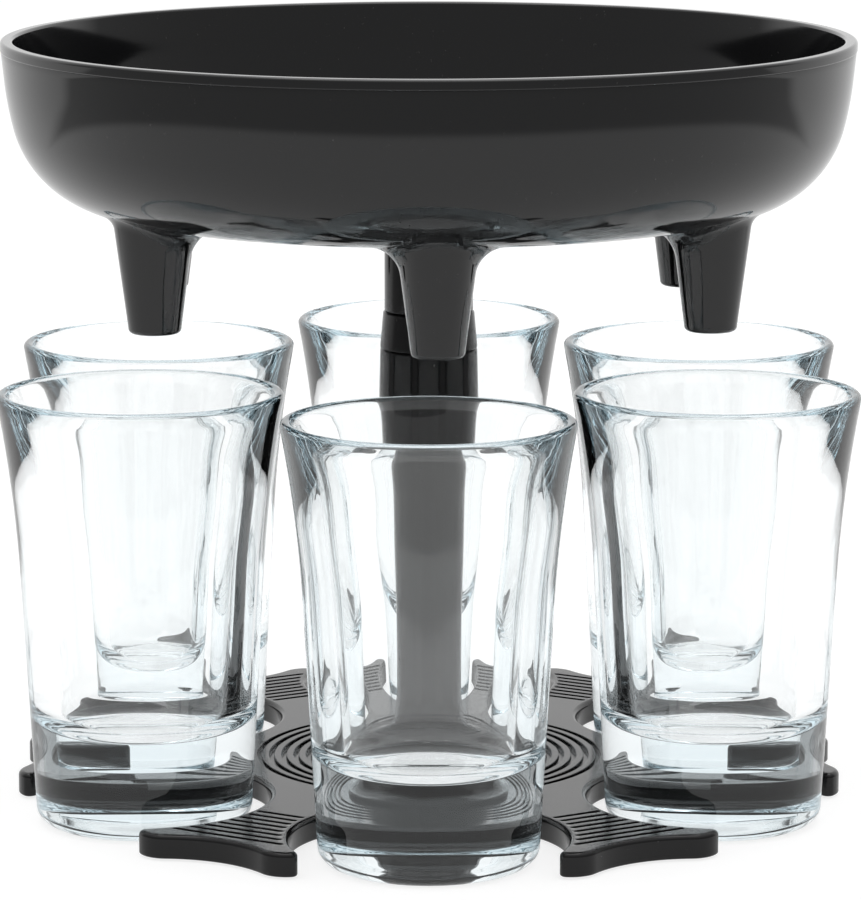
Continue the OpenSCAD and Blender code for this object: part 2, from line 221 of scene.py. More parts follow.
def make_moulded_skin():
    """Node group: uneven gloss, a faint wave in the surface, and dust."""
    group = bpy.data.node_groups.new("moulded_skin", "ShaderNodeTree")
    for name, start in (("Roughness", 0.1), ("Unevenness", 0.05), ("Wave", 0.1), ("Dust", 0.5)):
        socket = group.interface.new_socket(name, in_out="INPUT", socket_type="NodeSocketFloat")
        socket.default_value = start
    for name, kind in (("Roughness", "NodeSocketFloat"), ("Dust", "NodeSocketFloat"),
                       ("Normal", "NodeSocketVector")):
        group.interface.new_socket(name, in_out="OUTPUT", socket_type=kind)
    inputs = group.nodes.new("NodeGroupInput")
    outputs = group.nodes.new("NodeGroupOutput")
    place = group.nodes.new("ShaderNodeTexCoord")
    link = group.links.new

    patches = add_node(group, "ShaderNodeTexNoise", Scale=70.0, Detail=4.0, Roughness=0.6)
    link(place.outputs["Object"], patches.inputs["Vector"])
    centred = add_node(group, "ShaderNodeMath")
    centred.operation = "SUBTRACT"
    centred.inputs[1].default_value = 0.5
    link(patches.outputs["Fac"], centred.inputs[0])
    spread = add_node(group, "ShaderNodeMath")
    spread.operation = "MULTIPLY_ADD"
    link(centred.outputs[0], spread.inputs[0])
    link(inputs.outputs["Unevenness"], spread.inputs[1])
    link(inputs.outputs["Roughness"], spread.inputs[2])

    specks = add_node(group, "ShaderNodeTexNoise", Scale=1500.0, Detail=1.0)
    link(place.outputs["Object"], specks.inputs["Vector"])
    few = ramp_node(group, 0.74, 0.8)
    link(specks.outputs["Fac"], few.inputs["Value"])
    drift = add_node(group, "ShaderNodeTexNoise", Scale=45.0, Detail=2.0)
    link(place.outputs["Object"], drift.inputs["Vector"])
    where = ramp_node(group, 0.45, 0.7)
    link(drift.outputs["Fac"], where.inputs["Value"])
    both = add_node(group, "ShaderNodeMath")
    both.operation = "MULTIPLY"
    link(few.outputs["Result"], both.inputs[0])
    link(where.outputs["Result"], both.inputs[1])
    dust = add_node(group, "ShaderNodeMath")
    dust.operation = "MULTIPLY"
    link(both.outputs[0], dust.inputs[0])
    link(inputs.outputs["Dust"], dust.inputs[1])
    rough = add_node(group, "ShaderNodeMath")
    rough.operation = "MULTIPLY_ADD"
    rough.inputs[1].default_value = 0.5
    link(dust.outputs[0], rough.inputs[0])
    link(spread.outputs[0], rough.inputs[2])

    swell = add_node(group, "ShaderNodeTexNoise", Scale=55.0, Detail=1.5, Roughness=0.4)
    link(place.outputs["Object"], swell.inputs["Vector"])
    bump = add_node(group, "ShaderNodeBump", Distance=0.0004)
    link(inputs.outputs["Wave"], bump.inputs["Strength"])
    link(swell.outputs["Fac"], bump.inputs["Height"])

    link(rough.outputs[0], outputs.inputs["Roughness"])
    link(dust.outputs[0], outputs.inputs["Dust"])
    link(bump.outputs["Normal"], outputs.inputs["Normal"])
    return group


moulded_skin = make_moulded_skin()

# %% [markdown]
# The plastics share one function. The bowl is the glossiest, the base plate is a little
# softer, and the colour differs by a hair, because the parts come from different
# moulds. A speck of dust is pale and dull, so it also lightens the colour.

# %% Charcoal and black plastic
DUST_COLOUR = (0.32, 0.31, 0.3, 1)


def plastic(name, colour, shine, roughness, unevenness, wave, dust):
    """Glossy moulded plastic with the shared skin."""
    material = bpy.data.materials.new(name)
    material.use_nodes = True
    tree = material.node_tree
    shader = tree.nodes["Principled BSDF"]
    shader.inputs["IOR"].default_value = 1.5
    shader.inputs["Specular IOR Level"].default_value = shine
    skin = tree.nodes.new("ShaderNodeGroup")
    skin.node_tree = moulded_skin
    for key, value in (("Roughness", roughness), ("Unevenness", unevenness), ("Wave", wave),
                       ("Dust", dust)):
        skin.inputs[key].default_value = value
    tint = add_node(tree, "ShaderNodeMix")
    tint.data_type = "RGBA"
    tint.inputs["A"].default_value = (*colour, 1)
    tint.inputs["B"].default_value = DUST_COLOUR
    tree.links.new(skin.outputs["Dust"], tint.inputs["Factor"])
    tree.links.new(tint.outputs["Result"], shader.inputs["Base Color"])
    tree.links.new(skin.outputs["Roughness"], shader.inputs["Roughness"])
    tree.links.new(skin.outputs["Normal"], shader.inputs["Normal"])
    return material


bowl_plastic = plastic("bowl_plastic", (0.007, 0.0072, 0.0078), shine=0.5,
                       roughness=0.07, unevenness=0.05, wave=0.05, dust=0.35)
stand_plastic = plastic("stand_plastic", (0.005, 0.005, 0.0055), shine=0.25,
                        roughness=0.12, unevenness=0.06, wave=0.05, dust=0.3)
base_plastic = plastic("base_plastic", (0.006, 0.006, 0.0065), shine=0.35,
                       roughness=0.17, unevenness=0.08, wave=0.08, dust=0.4)

# %% [markdown]
# Pressed glass is clear but not flat: the mould leaves it faintly wavy, mostly up and
# down the side. The waves come from noise stretched along the height, so that what is
# seen through the glass wavers as it does in the photograph. Thick glass also looks
# cooler than thin glass, because it takes a little red out of the light on the way.
# And light caught in the flared wall and the rim bounces often before it gets out.
# Each total reflection counts as a glossy bounce, so with too few of them the rim and
# the dark wedges under it turn black. With enough they are the cool grey of thick glass.

# %% Clear pressed glass
GLASS_BOUNCES = 24
GLASS_TINT = (0.75, 0.93, 1.0, 1)
GLASS_DEPTH = 7.0


def clear_glass():
    """Clear glass with the slow waves of a pressed side and a faint cool tint in its depth."""
    material = bpy.data.materials.new("clear_glass")
    material.use_nodes = True
    tree = material.node_tree
    shader = tree.nodes["Principled BSDF"]
    for key, value in (("Base Color", (0.99, 0.995, 0.995, 1)), ("Roughness", 0.0), ("IOR", 1.52),
                       ("Transmission Weight", 1.0)):
        shader.inputs[key].default_value = value
    place = tree.nodes.new("ShaderNodeTexCoord")
    stretch = add_node(tree, "ShaderNodeMapping", Scale=(1.0, 1.0, 0.3))
    tree.links.new(place.outputs["Object"], stretch.inputs["Vector"])
    waves = add_node(tree, "ShaderNodeTexNoise", Scale=95.0, Detail=1.0, Roughness=0.4)
    tree.links.new(stretch.outputs["Vector"], waves.inputs["Vector"])
    bump = add_node(tree, "ShaderNodeBump", Strength=0.12, Distance=0.0006)
    tree.links.new(waves.outputs["Fac"], bump.inputs["Height"])
    tree.links.new(bump.outputs["Normal"], shader.inputs["Normal"])
    haze = add_node(tree, "ShaderNodeVolumeAbsorption", Color=GLASS_TINT, Density=GLASS_DEPTH)
    tree.links.new(haze.outputs["Volume"], tree.nodes["Material Output"].inputs["Volume"])
    return material


glass = clear_glass()
paths = bpy.context.scene.cycles
paths.max_bounces = paths.glossy_bounces = paths.transmission_bounces = GLASS_BOUNCES
print(f"Light paths: up to {GLASS_BOUNCES} bounces")

# %% [markdown]
# The screws and the rubber are barely seen, but they are seen when the object is turned
# over. Machined steel has fine turning marks, and rubber is dull with a fine grain.

# %% Steel and rubber


def grained(name, colour, metallic, low, high, scale, depth):
    """A finish whose height follows one fine noise, and whose roughness runs from low to high."""
    material = bpy.data.materials.new(name)
    material.use_nodes = True
    tree = material.node_tree
    shader = tree.nodes["Principled BSDF"]
    shader.inputs["Base Color"].default_value = (*colour, 1)
    shader.inputs["Metallic"].default_value = metallic
    place = tree.nodes.new("ShaderNodeTexCoord")
    grain = add_node(tree, "ShaderNodeTexNoise", Scale=scale, Detail=3.0)
    tree.links.new(place.outputs["Object"], grain.inputs["Vector"])
    gloss = ramp_node(tree, 0.3, 0.7, low, high)
    tree.links.new(grain.outputs["Fac"], gloss.inputs["Value"])
    tree.links.new(gloss.outputs["Result"], shader.inputs["Roughness"])
    bump = add_node(tree, "ShaderNodeBump", Strength=0.4, Distance=depth)
    tree.links.new(grain.outputs["Fac"], bump.inputs["Height"])
    tree.links.new(bump.outputs["Normal"], shader.inputs["Normal"])
    return material


steel = grained("steel", (0.6, 0.6, 0.62), metallic=1.0, low=0.22, high=0.4,
                scale=900.0, depth=0.00003)
rubber = grained("rubber", (0.022, 0.022, 0.022), metallic=0.0, low=0.6, high=0.85,
                 scale=1400.0, depth=0.00008)

for node, finish in (("stem_screw", steel), ("base_screws", steel), ("seal_washer", rubber),
                     *((f"foot_pad_{i + 1}", rubber) for i in range(PLACES))):
    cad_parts[node].data.materials.clear()
    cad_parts[node].data.materials.append(finish)

# %% [markdown]
# ## Shot glasses
#
# A shot glass is a pressed tumbler with a solid bottom. Its side leans out by about
# three degrees and flares in its upper half, and the wall thins towards the rim. What
# makes it read as glass is the inner surface: the eye sees through four curved
# surfaces, so the inside is modelled as carefully as the outside. The six glasses are
# one profile turned about six axes.

# %% Profile of a glass
low, high = box_mm("glass_1")
GLASS_HIGH = high[2]
FOOT_R = 18.15
SIDE_DRAFT = 3.1
FLARE_FROM = GLASS_HIGH - 31.5
FLARE_BEND = 230
HEEL_R = 3.0
RIM_WALL = 2.0
UPPER_WALL = 4.0
UPPER_Z = GLASS_HIGH - 12.0
MID_WALL = 4.9
LOW_WALL = 5.2
FLOOR_Z = 16.0
INNER_CORNER_R = 5.0
FLOOR_DISH = 0.7
STAND_R = FOOT_R - 3.5
PUNT = 2.0
WALL_EASE = 4
GLASS_COLUMNS = 144


def glass_side(height):
    """Outer radius of a glass: a leaning side plus a parabolic flare above FLARE_FROM."""
    return (FOOT_R + height * math.tan(math.radians(SIDE_DRAFT))
            + np.clip(height - FLARE_FROM, 0, None) ** 2 / (2 * FLARE_BEND))


def glass_wall(height):
    """Thickness of the side: four named values joined by lines, and the bends eased.

    Easing takes the mean of nine values up to WALL_EASE above and below the height.
    """
    ease = np.linspace(-WALL_EASE, WALL_EASE, 9)
    reach = np.asarray(height, float)[..., None] + ease
    line = np.interp(reach, [FLOOR_Z, FLARE_FROM, UPPER_Z, GLASS_HIGH],
                     [LOW_WALL, MID_WALL, UPPER_WALL, RIM_WALL])
    thinning = (UPPER_WALL - RIM_WALL) / (GLASS_HIGH - UPPER_Z)
    beyond = np.clip(reach - GLASS_HIGH, 0, None) * thinning
    return (line - beyond).mean(-1)


def glass_profile():
    """Side view: from the middle of the underside, up the outside, over the rim, down inside."""
    rim = RIM_WALL / 2
    rim_z = GLASS_HIGH - rim
    corner_z = FLOOR_Z + INNER_CORNER_R
    outside = np.linspace(HEEL_R, rim_z, 40)[1:-1]
    inside = np.linspace(rim_z, corner_z, 36)[1:-1]
    floor_r = glass_side(corner_z) - glass_wall(corner_z) - INNER_CORNER_R
    under = np.linspace(0, STAND_R - 1, 10)
    floor = np.linspace(floor_r, 0, 10)[1:]
    return np.concatenate([
        np.stack([under, PUNT * (1 - (under / STAND_R) ** 4)], 1),
        arc((STAND_R + 0.2, 0.8), 0.8, -150, -90, 4),
        arc((glass_side(HEEL_R) - HEEL_R, HEEL_R), HEEL_R, -90, 0, 10),
        np.stack([glass_side(outside), outside], 1),
        arc((glass_side(rim_z) - rim, rim_z), rim, 10, 170, 14),
        np.stack([glass_side(inside) - glass_wall(inside), inside], 1),
        arc((floor_r, corner_z), INNER_CORNER_R, 0, -90, 12),
        np.stack([floor, FLOOR_Z - FLOOR_DISH * (1 - (floor / floor_r) ** 2)], 1),
    ])


# %% Six glasses
for i in range(PLACES):
    node = f"glass_{i + 1}"
    low, high = box_mm(node)
    centre = (low + high)[:2] / 2
    shape = turned(glass_profile(), circle_angles(GLASS_COLUMNS), centre)
    make_piece(f"shot_glass_{i + 1}", [shape], glass, node, [node], weighted=False)

# %% [markdown]
# ## The bowl
#
# The bowl is turned, but its six spouts are not: each grows out of the underside with a
# soft blend, and its bore opens into the floor. Boolean joins would leave ragged
# shading on such a glossy part. So the skin round each spout is one grid. Its outer edge
# is a sixth of a ring of the bowl, its rows shrink to the spout's root, run down the
# blend and the outside, turn round the tip, climb the bore and spread out again over
# the floor inside.

# %% Sizes of the bowl
low, high = box_mm("bowl")
BOWL_TOP = high[2]
SPOUT_TIP = low[2]
SPOUT_LONG = 17.7
BOWL_Z = SPOUT_TIP + SPOUT_LONG
FLOOR_R = 52.75
CORNER_R = 18.8
SIDE_R = 56.4
BLEND_ANGLE = 14.2
DRAFT = 5.9
BOWL_WALL = 2.2
RIM_HIGH = 1.8
RIM_PROUD = 0.15
RIM_ROUND = 0.55
BEAD_ROUND = 0.3
BOWL_TURN = 1.6
SPOUT_START = -90 + BOWL_TURN
SECTOR_COLUMNS = 32
SIDE_ROWS = 22
RING_IN = 14.0
RING_OUT = 66.5


def corner_skin(radius, inset):
    """Height of the bowl's lower skin: flat, then a circular arc, moved inwards by inset."""
    beyond = np.clip(radius - FLOOR_R, 0, None)
    return BOWL_Z + CORNER_R - np.sqrt((CORNER_R - inset) ** 2 - beyond ** 2)


def corner_slope(radius, inset):
    """Slope of that skin along the radius."""
    beyond = np.clip(radius - FLOOR_R, 0, None)
    return beyond / np.sqrt((CORNER_R - inset) ** 2 - beyond ** 2)


# %% [markdown]
# The wall above the spouts is one turned strip from the outer ring, over the rim and
# down to the inner ring. A small bead stands out a little round the outside of the rim,
# which gives the fine double line there. The inside runs plain up to a rounded edge.

# %% Profile of the wall and rim


def wall_curve(inset):
    """Two arcs and a straight draft, from RING_OUT up to the bead."""
    start = math.degrees(math.asin((RING_OUT - FLOOR_R) / (CORNER_R - inset))) - 90
    turn = -BLEND_ANGLE
    easy = np.array([FLOOR_R, BOWL_Z + CORNER_R]) - (SIDE_R - CORNER_R) * np.array(
        [math.cos(math.radians(turn)), math.sin(math.radians(turn))])
    tight = arc((FLOOR_R, BOWL_Z + CORNER_R), CORNER_R - inset, start, turn, 12)
    gentle = arc(easy, SIDE_R - inset, turn, -DRAFT, 8)[1:]
    foot = gentle[-1]
    rise = np.linspace(0, BOWL_TOP - RIM_HIGH - foot[1], 6)[1:, None]
    return np.concatenate([tight, gentle, foot + rise * [math.tan(math.radians(DRAFT)), 1]])


def wall_profile():
    """The outside, the bead and the inside as one line."""
    outside = wall_curve(0)
    inside = wall_curve(BOWL_WALL)
    slant = math.radians(DRAFT)
    outer = outside[-1][0] + RIM_PROUD
    inner = inside[-1][0] + (RIM_HIGH - RIM_ROUND) * math.tan(slant) + RIM_ROUND / math.cos(slant)
    edge = BOWL_TOP - RIM_HIGH
    return np.concatenate([
        outside,
        arc((outer - BEAD_ROUND, edge + BEAD_ROUND), BEAD_ROUND, -90, 0, 4),
        arc((outer - RIM_ROUND, BOWL_TOP - RIM_ROUND), RIM_ROUND, 0, 90, 8),
        arc((inner, BOWL_TOP - RIM_ROUND), RIM_ROUND, 90, 180 - DRAFT, 8),
        inside[::-1],
    ])


# %% [markdown]
# A rolling ball gives the blend. Its centre lies one radius under the skin and one
# radius off the spout's side. For each direction round the spout, the distance at which
# both are true is found by halving an interval. The ball is large towards the middle of
# the bowl and small towards the wall, where the skin already curves up to meet it.

# %% Rolling-ball blend
SPOUT_RING_R = 53.6
TIP_R = 4.32
SPOUT_DRAFT = 7.5
BLEND_INNER = 6.5
BLEND_OUTER = 2.6
BORE_R = 3.0
BORE_DRAFT = 4.0
BORE_EDGE = 0.8
TIP_ROUND = 0.85
TIP_INNER_ROUND = 0.35
FARTHEST = 14.0
HALVINGS = 40


def rolled(direction, inset, small_r, draft, ball, steps):
    """Rows of (distance from the spout's axis, height) from the skin round to the cone.

    The ball's centre is the skin's point at some reach minus ball times the skin's normal.
    off is how far it then lies from one ball's radius off the cone, and reach is halved to 0.
    """
    slant = math.radians(draft)
    near = np.full_like(direction, small_r)
    far = np.full_like(direction, small_r + FARTHEST)
    for _ in range(HALVINGS):
        reach = (near + far) / 2
        radius = np.hypot(SPOUT_RING_R + reach * np.cos(direction), reach * np.sin(direction))
        along = (reach + SPOUT_RING_R * np.cos(direction)) / radius
        slope = corner_slope(radius, inset) * along
        steep = np.sqrt(1 + slope ** 2)
        out = reach + ball * slope / steep
        height = corner_skin(radius, inset) - ball / steep
        off = (out - small_r - (height - SPOUT_TIP) * math.tan(slant)) * math.cos(slant) - ball
        near = np.where(off < 0, reach, near)
        far = np.where(off < 0, far, reach)
    first = np.arctan2(1, -slope)
    angle = first + np.linspace(0, 1, steps + 1)[:, None] * (math.pi - slant - first)
    return np.stack([out + ball * np.cos(angle), height + ball * np.sin(angle)], -1)


def sector_outline():
    """Plan of a sixth of the ring between RING_IN and RING_OUT, going round it once."""
    half = math.radians(PLACE_STEP / 2)
    sweep = np.linspace(-half, half, SECTOR_COLUMNS + 1)
    shrink = np.linspace(RING_OUT, RING_IN, SIDE_ROWS + 1)

    def polar(radius, angle):
        """Plan points (r cos a, r sin a)."""
        return np.stack([radius * np.cos(angle), radius * np.sin(angle)], 1)

    return np.concatenate([
        polar(RING_OUT, sweep[:-1]), polar(shrink[:-1], half),
        polar(RING_IN, sweep[:0:-1]), polar(shrink[:0:-1], -half)])


# %% One spout with the skin round it
SPREAD_ROWS = 16
SPREAD_EASE = 1.35
BALL_EASE = 1.5


def spread(outline, root, inset):
    """Rows from the sector's outline in to the spout's root, laid on the skin.

    Row t lies at the share 1 - (1 - t) ** SPREAD_EASE of the way, so rows crowd at the root.
    """
    share = 1 - (1 - np.linspace(0, 1, SPREAD_ROWS + 1)[:, None, None]) ** SPREAD_EASE
    plan = outline + share * (root - outline)
    height = corner_skin(np.hypot(plan[..., 0], plan[..., 1]), inset)
    return np.concatenate([plan, height[..., None]], -1)


def spout_skin():
    """The whole skin of one sector, in a frame whose X axis runs out through the spout."""
    outline = sector_outline()
    direction = np.unwrap(np.arctan2(outline[:, 1], outline[:, 0] - SPOUT_RING_R))
    outward = (1 + np.cos(direction)) / 2
    ball = BLEND_INNER + (BLEND_OUTER - BLEND_INNER) * outward ** BALL_EASE
    blend = rolled(direction, 0, TIP_R, SPOUT_DRAFT, ball, 12)
    bore_edge = rolled(direction, BOWL_WALL, BORE_R, BORE_DRAFT, BORE_EDGE, 5)

    def cone(small_r, draft, height):
        """Radius of a cone: its radius at the tip plus the height above it times tan(draft)."""
        return small_r + (height - SPOUT_TIP) * math.tan(math.radians(draft))

    def straight(start, end, small_r, draft, rows):
        """Rows between two heights along such a cone, without the first and the last."""
        height = start + np.linspace(0, 1, rows)[1:-1, None] * (end - start)
        return np.stack([cone(small_r, draft, height), height], -1)

    round_z = SPOUT_TIP + TIP_ROUND
    round_r = cone(TIP_R, SPOUT_DRAFT, round_z) - TIP_ROUND
    tip = np.concatenate([
        arc((round_r, round_z), TIP_ROUND, -SPOUT_DRAFT, -90, 8),
        arc((BORE_R + TIP_INNER_ROUND, SPOUT_TIP + TIP_INNER_ROUND), TIP_INNER_ROUND, 270, 180, 4)])
    tip = np.repeat(tip[:, None, :], len(direction), 1)
    side = straight(blend[-1, :, 1], tip[0, :, 1], TIP_R, SPOUT_DRAFT, 10)
    bore = straight(tip[-1, :, 1], bore_edge[-1, :, 1], BORE_R, BORE_DRAFT, 10)
    rows = np.concatenate([blend, side, tip, bore, bore_edge[::-1]])
    local = np.stack([SPOUT_RING_R + rows[..., 0] * np.cos(direction),
                      rows[..., 0] * np.sin(direction), rows[..., 1]], -1)
    under = spread(outline, local[0, :, :2], 0)[:-1]
    floor = spread(outline, local[-1, :, :2], BOWL_WALL)[:-1]
    return np.concatenate([under, local, floor[::-1]])


def about_z(points, degrees):
    """Points turned about the column's axis."""
    c, s = math.cos(math.radians(degrees)), math.sin(math.radians(degrees))
    return np.stack([points[..., 0] * c - points[..., 1] * s,
                     points[..., 0] * s + points[..., 1] * c, points[..., 2]], -1)


# %% The whole bowl
SCREW_HOLE_R = 2.1
HUB_R = 9.0
ring_angles = circle_angles(PLACES * SECTOR_COLUMNS, SPOUT_START - PLACE_STEP / 2)
hub = [(radius, BOWL_Z) for radius in (RING_IN, HUB_R, SCREW_HOLE_R)]
hub += [(radius, BOWL_Z + BOWL_WALL) for radius, _ in hub[::-1]]
bowl_grids = [turned(wall_profile(), ring_angles), turned(hub, ring_angles)]
bowl_grids += [about_z(spout_skin(), SPOUT_START + i * PLACE_STEP) for i in range(PLACES)]
make_piece("bowl_with_spouts", bowl_grids, bowl_plastic, "bowl_unit", ["bowl"])

# %% [markdown]
# ## Stem, collar, column and cap
#
# These are plain turned parts. Their edges are rounded by a few tenths of a millimetre,
# because a moulded edge always catches a thin line of light, and the two joint lines on
# the column show as such lines with a dark gap between.

# %% Turned parts of the stand
STAND_COLUMNS = 128
EDGE = 0.35
stem_low, stem_high = box_mm("stem")
collar_low, collar_high = box_mm("neck_collar")
column_low, column_high = box_mm("column")
cap_low, cap_high = box_mm("centre_cap")
STEM_R = 7.65
SPIGOT_R = 5.0
SPIGOT_ROUND = 1.0
NECK_TOP_R = 7.9
SLEEVE_R = 6.4
CHAMFER = 0.3
FIT = 0.05
RELIEF = 0.4
END_ROOM = 1.0
COLUMN_R = 8.4
COLUMN_DRAFT = 1.3
FOOT_FLARE_R = 17.5
FOOT_FLARE_HIGH = 14.0
FOOT_EDGE = 0.8
FOOT_ROUND = 0.3
CAP_EDGE = 2.0
CAP_CORNER = 0.4
CAP_SHOULDER = 0.5
SOCKET_R = 5.6
SOCKET_HIGH = 4.6
stand_angles = circle_angles(STAND_COLUMNS)


def stem_profile():
    """Spigot, shoulder and stem, closed by a flat top inside the bowl's floor line."""
    shoulder = collar_high[2]
    top = stem_high[2]
    low = stem_low[2]
    return np.concatenate([
        [[0, low], [SPIGOT_R - SPIGOT_ROUND, low]],
        arc((SPIGOT_R - SPIGOT_ROUND, low + SPIGOT_ROUND), SPIGOT_ROUND, -90, 0, 5),
        [[SPIGOT_R, shoulder]],
        arc((STEM_R - EDGE, shoulder + EDGE), EDGE, -90, 0, 5),
        [[STEM_R, shoulder + 4], [STEM_R, top - 0.2], [STEM_R, top], [0, top]]])


def collar_profile():
    """Closed outline: sleeve, shoulder, tapered neck and the bore for the spigot."""
    low, high = collar_low[2], collar_high[2]
    shoulder = column_high[2]
    bore = SPIGOT_R + FIT
    return np.concatenate([
        [[bore, low], [SLEEVE_R - CHAMFER, low], [SLEEVE_R, low + CHAMFER], [SLEEVE_R, shoulder]],
        arc((COLUMN_R - EDGE, shoulder + EDGE), EDGE, -90, 0, 5),
        arc((NECK_TOP_R - EDGE, high - EDGE), EDGE, 0, 90, 5),
        [[bore + CHAMFER, high], [bore, high - CHAMFER], [bore, low]]])


def column_profile():
    """Closed outline: a foot that flares as a quarter ellipse, a straight side, a stepped bore."""
    low, high = column_low[2], column_high[2]
    flare = np.radians(np.linspace(0, 90, 25))
    waist = COLUMN_R + (high - low - FOOT_FLARE_HIGH) * math.tan(math.radians(COLUMN_DRAFT))
    foot = np.stack([FOOT_FLARE_R - (FOOT_FLARE_R - waist) * np.sin(flare),
                     low + FOOT_EDGE + (FOOT_FLARE_HIGH - FOOT_EDGE) * (1 - np.cos(flare))], 1)
    sleeve_end = collar_low[2] - END_ROOM
    bore_end = stem_low[2] - END_ROOM
    return np.concatenate([
        [[0, low]],
        arc((FOOT_FLARE_R - FOOT_ROUND, low + FOOT_ROUND), FOOT_ROUND, -90, 0, 4),
        foot,
        arc((COLUMN_R - EDGE, high - EDGE), EDGE, 0, 90, 5),
        [[SLEEVE_R + FIT, high], [SLEEVE_R + FIT, sleeve_end], [SPIGOT_R + RELIEF, sleeve_end],
         [SPIGOT_R + RELIEF, bore_end], [0, bore_end]]])


def cap_profile():
    """A low dome over the screw head, hollow underneath.

    A dome of half width h that rises by r is part of a ball of radius (h^2 + r^2) / 2r.
    """
    low, high = cap_low[2], cap_high[2]
    half = (cap_high[0] - cap_low[0]) / 2
    rise = high - low - CAP_EDGE
    dome = (half ** 2 + rise ** 2) / (2 * rise)
    start = math.degrees(math.asin((dome - rise) / dome))
    socket_z = low + SOCKET_HIGH
    return np.concatenate([
        [[0, socket_z], [SOCKET_R, socket_z], [SOCKET_R, low], [half - CAP_CORNER, low]],
        arc((half - CAP_CORNER, low + CAP_CORNER), CAP_CORNER, -90, 0, 4),
        arc((half - CAP_SHOULDER, low + CAP_EDGE - CAP_CORNER), CAP_SHOULDER, 0, start, 5),
        arc((0, high - dome), dome, start + 1.2, 90, 22)])


for name, profile, body, node, finish, slot in (
        ("stem_and_spigot", stem_profile, "bowl_unit", "stem", stand_plastic, "stand_plastic"),
        ("swivel_collar", collar_profile, "collar", "neck_collar", stand_plastic, "stand_plastic"),
        ("flared_column", column_profile, "base", "column", stand_plastic, "stand_plastic"),
        ("domed_cap", cap_profile, "bowl_unit", "centre_cap", bowl_plastic, "bowl_plastic")):
    make_piece(name, [turned(profile(), stand_angles)], finish, body, [node])

# %% [markdown]
# ## The base plate
#
# The plate's outline is all arcs: a wide bay for each glass, and at the end of each arm
# two ears with a hollow between. Arcs that touch smoothly have one great virtue. The
# outline moved inwards is made of the same arcs with other radii, so an edge profile
# can be carried round it exactly: each point of the outline keeps its direction, and
# only its distance changes.

# %% Outline of the plate, with a direction for each point
plate_low, plate_high = box_mm("base_plate")
PLATE_Z, PLATE_TOP = plate_low[2], plate_high[2]
GLASS_RING_R = 55.7
BAY_R = FOOT_R + 4.85
BAY_RING_R = GLASS_RING_R + 1.8
ARM_LONG = 66.0
EAR_R = 5.0
EAR_OFF = 11.5
END_DIP = 2.2
TAIL_R = 1.25
END_R = (END_DIP ** 2 + EAR_OFF ** 2 - EAR_R ** 2) / (2 * (EAR_R - END_DIP))


def meet(a, radius_a, b, radius_b):
    """Where circles about a and b cross, on the right of the line from a to b."""
    a, b = np.array(a), np.array(b)
    gap = np.hypot(*(b - a))
    ahead = (radius_a ** 2 - radius_b ** 2 + gap ** 2) / (2 * gap)
    side = math.sqrt(radius_a ** 2 - ahead ** 2)
    along = (b - a) / gap
    return a + ahead * along + side * np.array([along[1], -along[0]])


def bearing(start, end):
    """Direction from one plan point to another, in degrees."""
    return math.degrees(math.atan2(end[1] - start[1], end[0] - start[0]))


def bend(centre, radius, start, end, steps, hollow=False):
    """Points on an arc with the direction that points off the plate; hollow arcs bend inwards."""
    angle = np.radians(np.linspace(start, end, steps + 1))[:-1]
    ray = np.stack([np.cos(angle), np.sin(angle)], 1)
    return np.concatenate([np.array(centre) + radius * ray, -ray if hollow else ray], 1)


def arm_outline():
    """Points and directions along one arm and half a bay on each side, in the arm's frame."""
    half = math.radians(PLACE_STEP / 2)
    bay = BAY_RING_R * np.array([math.cos(half), math.sin(half)])
    ear = np.array([ARM_LONG, EAR_OFF])
    end = np.array([ARM_LONG + END_DIP + END_R, 0.0])
    tail = meet(ear, EAR_R - TAIL_R, bay, BAY_R + TAIL_R)
    bay_angle = bearing(bay, tail)
    tail_end = bearing(ear, tail)
    ear_end = bearing(ear, end)
    upper = np.concatenate([
        bend(end, END_R, 180, bearing(end, ear), 12, hollow=True),
        bend(ear, EAR_R, ear_end, tail_end, 10),
        bend(tail, TAIL_R, tail_end, bearing(tail, bay), 8),
        bend(bay, BAY_R, bay_angle, -180 + PLACE_STEP / 2, 44, hollow=True)])
    lower = upper[1:][::-1] * [1, -1, 1, -1]
    return np.concatenate([lower, upper])


def plate_outline():
    """The arm's outline repeated round the column: (x, y, direction x, direction y)."""
    one = arm_outline()
    turns = []
    for i in range(PLACES):
        angle = math.radians(-90 + PLACE_STEP / 2 + i * PLACE_STEP)
        spin = np.array([[math.cos(angle), math.sin(angle)], [-math.sin(angle), math.cos(angle)]])
        turns.append(np.concatenate([one[:, :2] @ spin, one[:, 2:] @ spin], 1))
    return np.concatenate(turns)


def carried(outline, profile):
    """An edge profile of (inset, height) points: outline point minus inset times its direction."""
    inset = np.array(profile, float)[:, 0][:, None, None]
    height = np.array(profile, float)[:, 1]
    plan = outline[None, :, :2] - inset * outline[None, :, 2:]
    return np.concatenate([plan, np.broadcast_to(height[:, None, None], (*plan.shape[:2], 1))], -1)


# %% [markdown]
# The grooves are real cuts with rounded lips, not a bump: in a low view their walls
# hide part of their floors, and that is what makes them read as black lines. The round
# grooves are turned in one go. Each straight groove is a slot with round ends whose
# edge profile is carried round its outline. The flat skin between outline, slots and
# rings is then filled with triangles.

# %% Grooves
GROOVE_W = 0.95
GROOVE_DEEP = 0.8
GROOVE_LIP = 0.12
GROOVE_MARGIN = 1.2
GROOVE_COUNT = 8
GROOVE_PITCH = 2.34
GROOVE_OUTER = ARM_LONG - 0.2
RING_R = 29.7
RING_PITCH = 2.15
RING_COUNT = 5
TOP_ROUND = 0.9
BOTTOM_ROUND = 0.4


